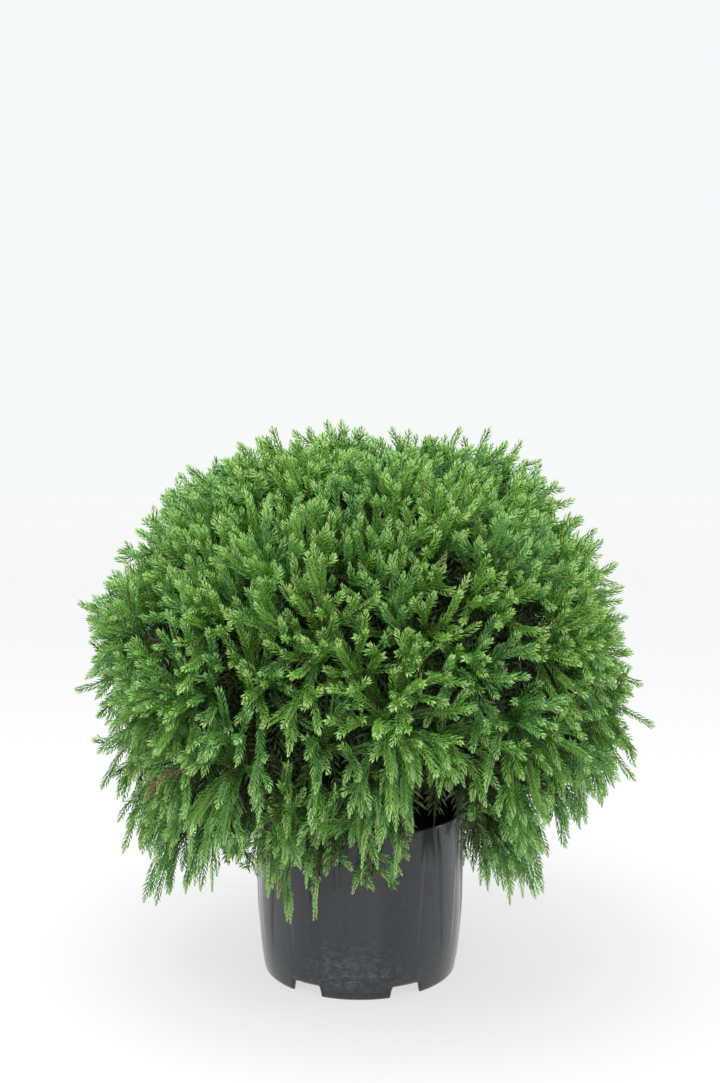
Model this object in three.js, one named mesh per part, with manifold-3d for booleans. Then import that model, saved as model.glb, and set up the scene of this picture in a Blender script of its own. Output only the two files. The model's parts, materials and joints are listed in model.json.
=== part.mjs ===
// A dwarf globe cryptomeria in a black nursery pot. Millimetres, +Z up.
// The origin is the centre of the pot's foot. A short trunk stands in the pot's
// root ball, a bough leaves it for every mass of foliage, and each mass branches
// from one stem into twigs and sprays of needles.

import * as THREE from "three";
import { mergeVertices } from "three/addons/utils/BufferGeometryUtils.js";
import Module from "manifold-3d";

const wasm = await Module();
wasm.setup();

// ---- driving dimensions ----

const CLEAR = 0.3; // gap between pieces that touch
const SAME_POINT = 1e-3; // corners nearer than this are one corner

const POT_HEIGHT = 193;
const POT_RADIUS = 121.5; // outside, at the rim
const POT_FOOT_RADIUS = 113; // outside, on the ground
const POT_FOOT_FADE = 40; // height over which the wall swings out from the foot
const POT_WALL = 2.4;
const POT_BENDS = [0, 26, 62, 120, POT_HEIGHT]; // heights of the facets' edges outside
const POT_INSIDE_BEND = 70; // and inside
const POT_SIDES = 36;
const FOOT_HEIGHT = 14; // from the ground to the underside of the floor
const FOOT_RING = 17; // width of the ring that the pot stands on
const FOOT_DRAFT = 1.5; // the ring narrows by this towards the ground
const FLOOR_THICK = 3;
const NOTCHES = 6; // drain notches in the foot ring
const NOTCH_TOP = 34; // width of a notch at its top
const NOTCH_BOTTOM = 42; // and on the ground
const NOTCH_HEIGHT = 12.5;
const NOTCH_FIRST = -62.5; // bearing of one notch, degrees from +X
const OVERRUN = 8; // a cutter runs this far past what it cuts

const SOIL_TOP = 166; // height of the root ball's surface at the pot's wall
const SOIL_RISE = 3; // its flat middle stands this much higher
const SOIL_MIDDLE = 52; // radius of the flat middle
const SOIL_GAP = 0.9; // the wall's facets stand in from its curve by less than this

const TRUNK_FOOT = SOIL_TOP + SOIL_RISE + CLEAR;
const TRUNK_TOP = 385;
const TRUNK_SIDES = 8;
const TRUNK_RADII = [24, 17.5, 15, 13.5, 11.5, 6.5]; // root flare to tip
const TRUNK_STEPS = [0, 0.07, 0.2, 0.5, 0.84, 1]; // where those radii are, as shares of its height
const TRUNK_LEAN = 7; // how far the tip stands off the plumb line
const BURIED = 3; // cut off the trunk's foot, so that it ends flat on the soil

const CROWN_HEIGHT = 340; // height of the point that the branches spread from
const REACH = 352; // from that point to the longest tips
const TOP_FALL = 0.115; // how much shorter the topmost tips are
const UNDER_FALL = 0.12; // and the tips underneath
const SAG = 0.3; // how far the lower branches bend down, as an angle in radians
const SAG_BLEND = 0.12; // how softly that begins about the crown's middle
const LOWEST_BOUGH = THREE.MathUtils.degToRad(-30);
const LOWEST_TIP = THREE.MathUtils.degToRad(-42);
const FIRST_BEARING = THREE.MathUtils.degToRad(130); // bearing of the topmost mass
const GOLDEN = Math.PI * (3 - Math.sqrt(5));
const MASSES = 22;
const TWIGS = 6; // for each mass, on average
const SPRAYS = 2.6; // for each twig, on average
const SEEDS = { masses: 22, twigs: 95, sprays: 86, growth: 100 };
const SHUFFLE = { masses: 0.1, twigs: 0.35, sprays: 0.3 }; // as shares of their spacing
const DRAWN_IN = 0.06; // twigs and sprays keep this share off the edge of their mass

// Places along a branch are shares of the way from the crown's centre to its outline. A branch
// leaves its parent low where it ends far to the side, and high where it stays close by.
const BOUGH_END = 0.37;
const STEM_END = 0.64;
const TWIG_LEAVES = [0.42, 0.56];
const SPRAY_LEAVES = [0.66, 0.8];
const SPRAY_SIDE = 1.4; // a spray this many twig spacings to the side leaves lowest
const SWING = 0.24; // the share over which a branch swings to its own direction
const TWIG_BARE = 0.09; // the share over which a twig shows before its first spray

const BOUGH_LOW = 212; // height where the lowest bough leaves the trunk
const BOUGH_HIGH = 378;
const BOUGH_BEND = 0.55; // the share of a bough's length that is bent towards its mass
const BOUGH_STRAIGHT = 0.25; // and the share that is straight
const BOUGH_RADIUS = 5.6; // at the trunk
const BOUGH_SIDES = 4;
const STEM_RADII = [3.6, 3.2, 2.6]; // from the bough to the end of the stem
const TWIG_RADIUS = 2.6;
const TWIG_SIDES = 3;
const SPRAY_FOOT = 0.7; // a spray's radius at its foot, as a share of the twig's
const SPRAY_RADIUS = 12.5; // of a spray's slim core at its widest
const SPRAY_WIDEST = 0.45; // where that is, as a share of the spray's length
const NEEDLE_LENGTH = 18; // a needle stands for several
const NEEDLE_LEAN = Math.PI / 4;
const HEART_MIDDLE = 0.55; // where the dense heart of a mass is
const HEART_DEPTH = 0.15;
const HEART_RADIUS = 0.25; // as an angle in radians
const LOBE_FALL = 0.07; // how much shorter a mass is at its edge than at its middle
const UNEVEN = 0.06; // spread of the sprays' lengths
const CELL_MARGIN = 0.006; // each mass keeps this angle off its neighbours' space
const POT_ROOM = 11; // foliage keeps this far off the pot

// ---- seeded draws from 0 to 1 ----

function draws(seed) {
  let state = (seed * 2654435761) >>> 0;
  return () => {
    state = (Math.imul(state, 1664525) + 1013904223) >>> 0;
    return state / 4294967296;
  };
}

// ---- solids ----

// A geometry's corners, each one once, and its faces, and nothing else.
function bareMesh(geometry) {
  const bare = geometry.clone();
  bare.deleteAttribute("normal");
  bare.deleteAttribute("uv");
  return mergeVertices(bare, SAME_POINT);
}

function solidOf(geometry) {
  const merged = bareMesh(geometry);
  return new wasm.Manifold(
    new wasm.Mesh({
      numProp: 3,
      vertProperties: new Float32Array(merged.attributes.position.array),
      triVerts: new Uint32Array(merged.index.array),
    }),
  );
}

function geometryOf(solid) {
  const mesh = solid.getMesh();
  const geometry = new THREE.BufferGeometry();
  geometry.setAttribute("position", new THREE.BufferAttribute(mesh.vertProperties, 3));
  geometry.setIndex(new THREE.BufferAttribute(mesh.triVerts, 1));
  geometry.computeVertexNormals();
  return geometry;
}

// The outer body of a solid: scraps cut loose are dropped and sealed hollows are filled.
function largestBody(solid) {
  return solid.decompose().reduce((a, b) => (b.volume() > a.volume() ? b : a));
}

// A limb through the given centres: a cylinder bent to them, or a cone if the last radius is 0.
function limb(centres, radii, sides, turn = 0) {
  const pointed = radii.at(-1) === 0;
  const steps = centres.length - 1;
  const template = pointed
    ? new THREE.ConeGeometry(1, 1, sides, steps)
    : new THREE.CylinderGeometry(1, 1, 1, sides, steps);
  const frames = [];
  let across = new THREE.Vector3(0.31, 0.83, -0.46); // any direction that no limb runs in
  for (let i = 0; i <= steps; i++) {
    const before = centres[Math.max(i - 1, 0)];
    const after = centres[Math.min(i + 1, steps)];
    const along = after.clone().sub(before).normalize();
    across = across.clone().addScaledVector(along, -across.dot(along)).normalize();
    frames.push({ across, side: along.clone().cross(across) });
  }
  const position = template.attributes.position;
  for (let i = 0; i < position.count; i++) {
    const ring = Math.round((position.getY(i) + 0.5) * steps);
    const x = position.getX(i);
    const z = position.getZ(i);
    const bearing = Math.atan2(x, z) + turn;
    const radius = Math.hypot(x, z) > SAME_POINT ? radii[ring] : 0;
    const place = centres[ring]
      .clone()
      .addScaledVector(frames[ring].across, radius * Math.cos(bearing))
      .addScaledVector(frames[ring].side, radius * Math.sin(bearing));
    position.setXYZ(i, place.x, place.y, place.z);
  }
  return template;
}

// ---- the shape of the crown ----

// Distance from the crown's centre to its outline: a globe with a flattened top.
function reach(elevation) {
  const rise = Math.sin(elevation);
  return REACH * (1 - (rise > 0 ? TOP_FALL * rise ** 6 : UNDER_FALL * rise ** 2));
}

// How far a branch that sets out at this elevation has bent down at its tip: the upper ones
// hold themselves straight and the lower ones hang.
function sagOf(elevation) {
  return (SAG * Math.cos(elevation)) / (1 + Math.exp(Math.sin(elevation) / SAG_BLEND));
}

// The point a share t of the way out along the branch that sets out in direction ray.
function place(ray, t) {
  const setsOut = Math.asin(THREE.MathUtils.clamp(ray.z, -1, 1));
  const bearing = Math.atan2(ray.y, ray.x);
  const elevation = setsOut - sagOf(setsOut) * t * t;
  const distance = reach(elevation) * t;
  return new THREE.Vector3(
    distance * Math.cos(elevation) * Math.cos(bearing),
    distance * Math.cos(elevation) * Math.sin(bearing),
    CROWN_HEIGHT + distance * Math.sin(elevation),
  );
}

// The direction in which the branch through a point set out: the inverse of place. The rounds
// of its loop settle to well under a thousandth of a radian.
function rayThrough(point) {
  const from = point.clone().sub(new THREE.Vector3(0, 0, CROWN_HEIGHT));
  const elevation = Math.asin(from.z / from.length());
  const bearing = Math.atan2(from.y, from.x);
  const t = from.length() / reach(elevation);
  let setsOut = elevation;
  for (let round = 0; round < 20; round++) setsOut = elevation + sagOf(setsOut) * t * t;
  return new THREE.Vector3(
    Math.cos(setsOut) * Math.cos(bearing),
    Math.cos(setsOut) * Math.sin(bearing),
    Math.sin(setsOut),
  );
}

// Directions spread evenly over the crown, down to the lowest elevation, and then shuffled.
function spread(count, lowest, seed, shuffle) {
  const draw = draws(seed);
  const spacing = Math.sqrt((2 * Math.PI * (1 - Math.sin(lowest))) / count);
  return Array.from({ length: count }, (_, i) => {
    const height = 1 - ((i + 0.5) / count) * (1 - Math.sin(lowest));
    const bearing = FIRST_BEARING - i * GOLDEN;
    const flat = Math.sqrt(1 - height * height);
    const ray = new THREE.Vector3(flat * Math.cos(bearing), flat * Math.sin(bearing), height);
    const shift = new THREE.Vector3(draw() - 0.5, draw() - 0.5, draw() - 0.5);
    return ray.addScaledVector(shift, shuffle * spacing).normalize();
  });
}

function nearest(ray, others) {
  let best = 0;
  others.forEach((other, i) => {
    if (ray.dot(other) > ray.dot(others[best])) best = i;
  });
  return best;
}

// The way a branch goes: its parent's way until it leaves, then a swing that ends at its own ray.
function wayOf(parent, ray, leaves) {
  return (t) => {
    const rest = 1 - THREE.MathUtils.clamp((t - leaves) / SWING, 0, 1);
    return parent(t).lerp(ray, 1 - rest * rest).normalize();
  };
}

// Where a branch leaves, by how far its ray is from its parent's.
function leavingPoint([first, last], angle, widest) {
  return THREE.MathUtils.lerp(last, first, Math.min(angle / widest, 1));
}

const axes = spread(MASSES, LOWEST_BOUGH, SEEDS.masses, SHUFFLE.masses);
const massAngle = Math.sqrt((2 * (1 - Math.sin(LOWEST_BOUGH))) / MASSES);
const twigAngle = massAngle / Math.sqrt(TWIGS);
const twigCount = MASSES * TWIGS;
const twigRays = spread(twigCount, LOWEST_TIP, SEEDS.twigs, SHUFFLE.twigs);
const sprayCount = Math.round(twigCount * SPRAYS);
const sprayRays = spread(sprayCount, LOWEST_TIP, SEEDS.sprays, SHUFFLE.sprays);

// The rays of a set that fall in a mass's space, drawn in a little from its edge.
function raysOf(mass, rays) {
  const own = rays.filter((ray) => nearest(ray, axes) === mass);
  return own.map((ray) => ray.clone().lerp(axes[mass], DRAWN_IN).normalize());
}

// Whether a point lies in a mass's own space and clear of the pot.
function inCell(point, mass) {
  const out = Math.hypot(point.x, point.y);
  if (out < POT_RADIUS + POT_ROOM && point.z < POT_HEIGHT + POT_ROOM) return false;
  const ray = rayThrough(point);
  const own = ray.angleTo(axes[mass]);
  return axes.every((axis, i) => i === mass || own + CELL_MARGIN < ray.angleTo(axis));
}

// ---- pot and root ball ----

function wallRadius(height) {
  return POT_RADIUS - (POT_RADIUS - POT_FOOT_RADIUS) * Math.exp(-height / POT_FOOT_FADE);
}

function lathe(profile) {
  const points = profile.map(([radius, height]) => new THREE.Vector2(radius, height));
  const geometry = new THREE.LatheGeometry(points, POT_SIDES);
  return geometry.rotateX(Math.PI / 2);
}

function pot() {
  const floorTop = FOOT_HEIGHT + FLOOR_THICK;
  const inside = [POT_HEIGHT, POT_INSIDE_BEND, floorTop];
  const ringInside = POT_FOOT_RADIUS - FOOT_RING;
  const profile = [
    [0, FOOT_HEIGHT],
    [ringInside, FOOT_HEIGHT],
    [ringInside + FOOT_DRAFT, 0],
    ...POT_BENDS.map((height) => [wallRadius(height), height]),
    ...inside.map((height) => [wallRadius(height) - POT_WALL, height]),
    [0, floorTop],
  ];
  let body = solidOf(lathe(profile));
  const outline = new THREE.Shape([
    new THREE.Vector2(-NOTCH_BOTTOM / 2, -OVERRUN),
    new THREE.Vector2(NOTCH_BOTTOM / 2, -OVERRUN),
    new THREE.Vector2(NOTCH_BOTTOM / 2, 0),
    new THREE.Vector2(NOTCH_TOP / 2, NOTCH_HEIGHT),
    new THREE.Vector2(-NOTCH_TOP / 2, NOTCH_HEIGHT),
    new THREE.Vector2(-NOTCH_BOTTOM / 2, 0),
  ]);
  const depth = FOOT_RING + 2 * OVERRUN;
  for (let i = 0; i < NOTCHES; i++) {
    const cutter = new THREE.ExtrudeGeometry(outline, { depth, bevelEnabled: false });
    cutter.rotateX(Math.PI / 2); // the outline stands up, and the cut runs along -Y
    cutter.translate(0, OVERRUN - ringInside, 0);
    const bearing = THREE.MathUtils.degToRad(NOTCH_FIRST + (i * 360) / NOTCHES + 90);
    body = body.subtract(solidOf(cutter.rotateZ(bearing)));
  }
  return geometryOf(body);
}

function rootBall() {
  const bottom = FOOT_HEIGHT + FLOOR_THICK + CLEAR;
  const side = (height) => wallRadius(height) - POT_WALL - CLEAR - SOIL_GAP;
  const profile = [
    [0, bottom],
    [side(bottom), bottom],
    [side(POT_INSIDE_BEND), POT_INSIDE_BEND],
    [side(SOIL_TOP), SOIL_TOP],
    [SOIL_MIDDLE, SOIL_TOP + SOIL_RISE],
    [0, SOIL_TOP + SOIL_RISE],
  ];
  return geometryOf(solidOf(lathe(profile)));
}

// ---- trunk and boughs ----

// The trunk's centre line leans, more steeply low down.
function trunkCentre(height) {
  const share = (height - TRUNK_FOOT) / (TRUNK_TOP - TRUNK_FOOT);
  const lean = TRUNK_LEAN * Math.sin((share * Math.PI) / 2);
  return new THREE.Vector3(-lean, lean / 2, height);
}

// The trunk, grown by extra all round where it serves to cut the boughs back.
function trunk(extra = 0) {
  const top = TRUNK_TOP + extra;
  const heights = TRUNK_STEPS.map((share) => THREE.MathUtils.lerp(TRUNK_FOOT, top, share));
  const centres = heights.map(trunkCentre);
  centres[0].z -= BURIED;
  const radii = TRUNK_RADII.map((radius) => radius + extra);
  const body = solidOf(limb(centres, radii, TRUNK_SIDES));
  return body.trimByPlane([0, 0, 1], TRUNK_FOOT); // a flat cut at the soil
}

// A bough bends out of the trunk and ends straight, against the stem of its mass.
function bough(mass, trunkRoom) {
  const axis = axes[mass];
  const share = (axis.z - Math.sin(LOWEST_BOUGH)) / (1 - Math.sin(LOWEST_BOUGH));
  const start = trunkCentre(THREE.MathUtils.lerp(BOUGH_LOW, BOUGH_HIGH, share));
  const entry = place(axis, BOUGH_END);
  const onward = place(axis, HEART_MIDDLE).sub(entry).normalize();
  const end = entry.clone().addScaledVector(onward, -CLEAR);
  const length = end.distanceTo(start);
  const straight = end.clone().addScaledVector(onward, -BOUGH_STRAIGHT * length);
  const control = end.clone().addScaledVector(onward, -BOUGH_BEND * length);
  const bend = new THREE.QuadraticBezierCurve3(start, control, straight);
  const centres = [start, bend.getPoint(0.5), straight, end];
  const taper = centres.map((_, i) => i / (centres.length - 1));
  const radii = taper.map((part) => THREE.MathUtils.lerp(BOUGH_RADIUS, STEM_RADII[0], part));
  const body = solidOf(limb(centres, radii, BOUGH_SIDES));
  return geometryOf(largestBody(body.subtract(trunkRoom)));
}

// ---- masses of foliage ----

// A spray's needles: two of the three faces at its tip are drawn out to a point that leans
// forward, and the third is left smooth.
function withNeedles(spray, tip, draw) {
  const merged = bareMesh(spray);
  const points = Array.from({ length: merged.attributes.position.count }, (_, i) =>
    new THREE.Vector3().fromBufferAttribute(merged.attributes.position, i),
  );
  const faces = [];
  const index = merged.index.array;
  const atTip = (corner) => points[corner].distanceTo(tip) < SAME_POINT;
  const smooth = Math.floor(draw() * TWIG_SIDES);
  let met = 0;
  for (let f = 0; f < index.length; f += 3) {
    const [a, b, c] = [index[f], index[f + 1], index[f + 2]];
    if (!(atTip(a) || atTip(b) || atTip(c)) || met++ === smooth) {
      faces.push(a, b, c);
      continue;
    }
    const middle = points[a].clone().add(points[b]).add(points[c]).divideScalar(3);
    const out = points[b].clone().sub(points[a]).cross(points[c].clone().sub(points[a])).normalize();
    const onward = tip.clone().sub(middle).normalize();
    const apex = middle
      .addScaledVector(out, NEEDLE_LENGTH * Math.sin(NEEDLE_LEAN))
      .addScaledVector(onward, NEEDLE_LENGTH * Math.cos(NEEDLE_LEAN));
    points.push(apex);
    const top = points.length - 1;
    faces.push(a, b, top, b, c, top, c, a, top);
  }
  const geometry = new THREE.BufferGeometry();
  const corners = points.flatMap((point) => point.toArray());
  geometry.setAttribute("position", new THREE.Float32BufferAttribute(corners, 3));
  geometry.setIndex(faces);
  return geometry;
}

// Where a branch ends: the middle of each mass reaches furthest, and no two are alike.
function endOf(ray, mass, unevenness) {
  const off = ray.angleTo(axes[mass]) / massAngle;
  return 1 - LOBE_FALL * off * off - UNEVEN * unevenness;
}

// The dense heart of a mass, that its twigs stand out of.
function heart(axis) {
  const template = new THREE.SphereGeometry(1, 6, 4);
  const east = new THREE.Vector3(0, 0, 1).cross(axis).normalize();
  const north = axis.clone().cross(east);
  const position = template.attributes.position;
  for (let i = 0; i < position.count; i++) {
    const [x, y, z] = [position.getX(i), position.getY(i), position.getZ(i)];
    const ray = axis
      .clone()
      .addScaledVector(east, HEART_RADIUS * z)
      .addScaledVector(north, HEART_RADIUS * x)
      .normalize();
    const point = place(ray, HEART_MIDDLE + HEART_DEPTH * y);
    position.setXYZ(i, point.x, point.y, point.z);
  }
  return template;
}

// A mass: its stem, its heart, and the twigs, each going on into its first spray.
function massOfFoliage(mass) {
  const draw = draws(SEEDS.growth + mass);
  const axis = axes[mass];
  const stem = [BOUGH_END, HEART_MIDDLE, STEM_END].map((t) => place(axis, t));
  const parts = [solidOf(limb(stem, STEM_RADII, BOUGH_SIDES)), solidOf(heart(axis))];
  const keep = (geometry) => {
    const position = geometry.attributes.position;
    for (let i = 0; i < position.count; i++) {
      if (!inCell(new THREE.Vector3().fromBufferAttribute(position, i), mass)) return false;
    }
    parts.push(solidOf(geometry));
    return true;
  };
  const twigs = raysOf(mass, twigRays);
  const sprays = raysOf(mass, sprayRays);
  for (const twig of twigs) {
    const own = sprays.filter((ray) => twigs[nearest(ray, twigs)] === twig);
    own.sort((a, b) => a.angleTo(twig) - b.angleTo(twig));
    const twigLeaves = leavingPoint(TWIG_LEAVES, twig.angleTo(axis), massAngle);
    const twigWay = wayOf(() => axis.clone(), twig, twigLeaves);
    for (const [order, ray] of own.entries()) {
      const end = endOf(ray, mass, draw());
      const leaves = leavingPoint(SPRAY_LEAVES, ray.angleTo(twig), twigAngle * SPRAY_SIDE);
      const way = wayOf(twigWay, ray, leaves);
      const bare = order === 0 ? [twigLeaves, twigLeaves + TWIG_BARE] : [];
      const ts = [...bare, leaves, THREE.MathUtils.lerp(leaves, end, SPRAY_WIDEST), end];
      const centres = ts.map((t) => place(way(t), t));
      const radii = [...bare.map(() => TWIG_RADIUS), TWIG_RADIUS * SPRAY_FOOT, SPRAY_RADIUS, 0];
      const core = limb(centres, radii, TWIG_SIDES, draw() * Math.PI);
      const kept = keep(withNeedles(core, centres.at(-1), draw)) || keep(core);
      if (order === 0 && !kept) break; // the twig itself, that the others grow on
    }
  }
  return geometryOf(largestBody(wasm.Manifold.union(parts)));
}

// ---- the plant ----

const BLACK_PLASTIC = { color: 0x2b2e31, roughness: 0.32, metalness: 0 };
const COMPOST = { color: 0x2a211b, roughness: 0.95, metalness: 0 };
const BARK = { color: 0x5b4233, roughness: 0.85, metalness: 0 };
const NEEDLES = { color: 0x4f7a35, roughness: 0.6, metalness: 0 };

const plant = new THREE.Group();

function add(name, geometry, look) {
  const mesh = new THREE.Mesh(geometry, new THREE.MeshStandardMaterial(look));
  mesh.name = name;
  plant.add(mesh);
}

add("pot", pot(), BLACK_PLASTIC);
add("root_ball", rootBall(), COMPOST);
add("trunk", geometryOf(trunk()), BARK);
const trunkRoom = trunk(CLEAR);
for (let mass = 0; mass < MASSES; mass++) {
  const label = String(mass + 1).padStart(2, "0");
  add(`bough_${label}`, bough(mass, trunkRoom), BARK);
  add(`foliage_${label}`, massOfFoliage(mass), NEEDLES);
}

export default plant;
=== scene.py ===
import json
import math

import bpy
import numpy as np
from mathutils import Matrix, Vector, noise

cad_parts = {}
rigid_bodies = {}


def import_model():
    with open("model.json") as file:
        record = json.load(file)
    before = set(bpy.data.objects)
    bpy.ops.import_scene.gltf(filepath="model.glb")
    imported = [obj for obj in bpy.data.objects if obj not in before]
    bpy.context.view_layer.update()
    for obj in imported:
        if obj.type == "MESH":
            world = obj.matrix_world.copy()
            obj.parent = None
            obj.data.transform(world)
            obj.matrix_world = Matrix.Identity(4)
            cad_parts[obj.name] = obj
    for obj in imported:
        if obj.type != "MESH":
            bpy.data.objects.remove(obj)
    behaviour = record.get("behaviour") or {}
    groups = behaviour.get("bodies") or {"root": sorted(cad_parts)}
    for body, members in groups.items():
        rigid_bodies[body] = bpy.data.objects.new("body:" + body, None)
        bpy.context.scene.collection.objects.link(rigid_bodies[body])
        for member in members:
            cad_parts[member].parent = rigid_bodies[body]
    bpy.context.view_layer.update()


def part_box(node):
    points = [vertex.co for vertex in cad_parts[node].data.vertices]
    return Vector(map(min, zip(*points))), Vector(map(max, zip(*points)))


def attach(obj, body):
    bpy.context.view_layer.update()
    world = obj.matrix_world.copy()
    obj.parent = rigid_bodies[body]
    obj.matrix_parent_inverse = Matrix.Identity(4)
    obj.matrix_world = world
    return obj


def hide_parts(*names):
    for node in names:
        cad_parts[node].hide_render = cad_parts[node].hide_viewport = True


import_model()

scene = bpy.context.scene

# ---- Camera ----
# A little above the crown's middle and tipped down, so that the shrub's face, the rim's far
# edge and the front of the pot all show.
CAMERA_DISTANCE = 1.732
CAMERA_HEIGHT = 0.698
CAMERA_TIPPED = math.radians(6.31)
FRAME_HEIGHT_PX = 1083
FOCAL_PX = 1500


def in_scene(name, data):
    """A new object for some data, put into the scene."""
    obj = bpy.data.objects.new(name, data)
    scene.collection.objects.link(obj)
    return obj


camera = bpy.data.cameras.new("camera")
camera.sensor_width = 36
camera.lens = camera.sensor_width * FOCAL_PX / FRAME_HEIGHT_PX
viewer = in_scene("camera", camera)
viewer.location = (0, -CAMERA_DISTANCE, CAMERA_HEIGHT)
viewer.rotation_euler = (math.pi / 2 - CAMERA_TIPPED, 0, 0)
scene.camera = viewer

# ---- Studio ----
# A white room: even light from all round, broad soft lamps above and in front, two tall strips
# at the sides that draw thin lights down the pot, and a pale floor that runs on back.
scene.view_settings.view_transform = "Standard"
ROOM_COLOUR = (0.93, 0.945, 0.955)
STRIP_OUT = 2.2
FLOOR_SIZE = 14.0
FLOOR_COLOUR = (0.22, 0.222, 0.222)
FLOOR_GLOW = (0.64, 0.70)
GLOW_DISTANCES = (1.5, 5.5)

room = bpy.data.worlds.new("white_room")
room.use_nodes = True
room_light = room.node_tree.nodes["Background"].inputs
room_light["Color"].default_value = (*ROOM_COLOUR, 1)
room_light["Strength"].default_value = 1
scene.world = room


def lamp(name, place, aim, size, power):
    data = bpy.data.lights.new(name, "AREA")
    data.shape = "RECTANGLE"
    data.size, data.size_y = size
    data.energy = power
    obj = in_scene(name, data)
    obj.location = place
    obj.rotation_euler = (Vector(aim) - Vector(place)).to_track_quat("-Z", "Y").to_euler()


lamp("overhead", place=(-0.3, -0.5, 2.5), aim=(0, 0, 0.4), size=(1.8, 1.6), power=54)
lamp("front", place=(0.4, -3.0, 1.5), aim=(0, 0, 0.3), size=(2.8, 1.4), power=28)
for name, out in (("left_strip", -STRIP_OUT), ("right_strip", STRIP_OUT)):
    lamp(name, place=(out, 0.1, 0.8), aim=(0, 0, 0.3), size=(0.25, 2.0), power=14)


def plain_material(name, colour, roughness, specular):
    material = bpy.data.materials.new(name)
    material.use_nodes = True
    shader = material.node_tree.nodes["Principled BSDF"]
    shader.inputs["Base Color"].default_value = (*colour, 1)
    shader.inputs["Roughness"].default_value = roughness
    shader.inputs["Specular IOR Level"].default_value = specular
    return material


def mesh_piece(name, vertices, faces, material, smooth=True):
    mesh = bpy.data.meshes.new(name)
    mesh.from_pydata(vertices, [], faces)
    mesh.materials.append(material)
    mesh.polygons.foreach_set("use_smooth", [smooth] * len(mesh.polygons))
    mesh.update()
    return in_scene(name, mesh)


half = FLOOR_SIZE / 2
floor = mesh_piece(
    "floor",
    [(-half, -half, 0), (half, -half, 0), (half, half, 0), (-half, half, 0)],
    [(0, 1, 2, 3)],
    plain_material("pale_floor", FLOOR_COLOUR, roughness=0.8, specular=0.1),
)
floor_tree = floor.active_material.node_tree
floor_shader = floor_tree.nodes["Principled BSDF"]
floor_shader.inputs["Emission Color"].default_value = (1, 1, 1, 1)
floor_place = floor_tree.nodes.new("ShaderNodeTexCoord")
from_middle = floor_tree.nodes.new("ShaderNodeVectorMath")
from_middle.operation = "LENGTH"
glow = floor_tree.nodes.new("ShaderNodeMapRange")
for end, distance, strength in zip(("Min", "Max"), GLOW_DISTANCES, FLOOR_GLOW):
    glow.inputs[f"From {end}"].default_value = distance
    glow.inputs[f"To {end}"].default_value = strength
floor_tree.links.new(floor_place.outputs["Object"], from_middle.inputs[0])
floor_tree.links.new(from_middle.outputs["Value"], glow.inputs["Value"])
floor_tree.links.new(glow.outputs["Result"], floor_shader.inputs["Emission Strength"])

# ---- Pot ----
# A nursery container of thin dark plastic, moulded in one piece. It swells out from its foot,
# has shallow raised panels and a plain rim, and stands on a skirt with six drain notches under
# a raised floor.
POT_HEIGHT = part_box("pot")[1][2]
POT_RADIUS = 0.1215
POT_FOOT_RADIUS = 0.113
POT_FOOT_FADE = 0.040
POT_WALL = 0.0024
SKIRT_WALL = 0.0032
SKIRT_HEIGHT = 0.014
SKIRT_MIDDLE = 0.008
FLOOR_THICK = 0.003
FLOOR_ROUND = 0.001
FOOT_ROUND = 0.0012
EDGE_ROUND = 0.0008
RIM_ROUND = 0.0006
FLOOR_RINGS = (0, 0.04, 0.08)
LOW_RINGS = (0.004, 0.008, 0.012, 0.016, 0.022, 0.03, 0.036, 0.044, 0.053, 0.063, 0.075)
HIGH_RINGS = (0.09, 0.11, 0.13, 0.15, 0.165)
RINGS_UNDER_RIM = (0.009, 0.0025)
INSIDE_RINGS = (0.16, 0.12, 0.08, 0.05, 0.03)
NOTCHES = 6
NOTCH_FIRST = math.radians(-62.5)
NOTCH_TOP = 0.034
NOTCH_BOTTOM = 0.040
NOTCH_HEIGHT = 0.0125
NOTCH_ROOM = 0.016
ROUND_SIDES = 432
PANELS = 12
PANEL_FIRST = math.radians(-93)
PANEL_HALF_LOW = math.radians(5)
PANEL_HALF_HIGH = math.radians(11)
PANEL_FLANK = math.radians(1.7)
PANEL_DEPTH = 0.0011
PANEL_LOW = 0.034
PANEL_FADE = 0.045
PANEL_END = 0.02


def wall_radius(height):
    return POT_RADIUS - (POT_RADIUS - POT_FOOT_RADIUS) * math.exp(-height / POT_FOOT_FADE)


def mix(a, b, share):
    return a + (b - a) * share


def eased(share):
    """A share kept from 0 to 1 that sets out and arrives gently."""
    share = min(max(share, 0), 1)
    return share * share * (3 - 2 * share)


def notch_height(bearing):
    """How high the skirt's edge is off the ground at a bearing."""
    turn = 2 * math.pi / NOTCHES
    off = (bearing - NOTCH_FIRST + turn / 2) % turn - turn / 2
    along = abs(off) * POT_FOOT_RADIUS
    return NOTCH_HEIGHT * eased((NOTCH_BOTTOM / 2 - along) / ((NOTCH_BOTTOM - NOTCH_TOP) / 2))


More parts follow.
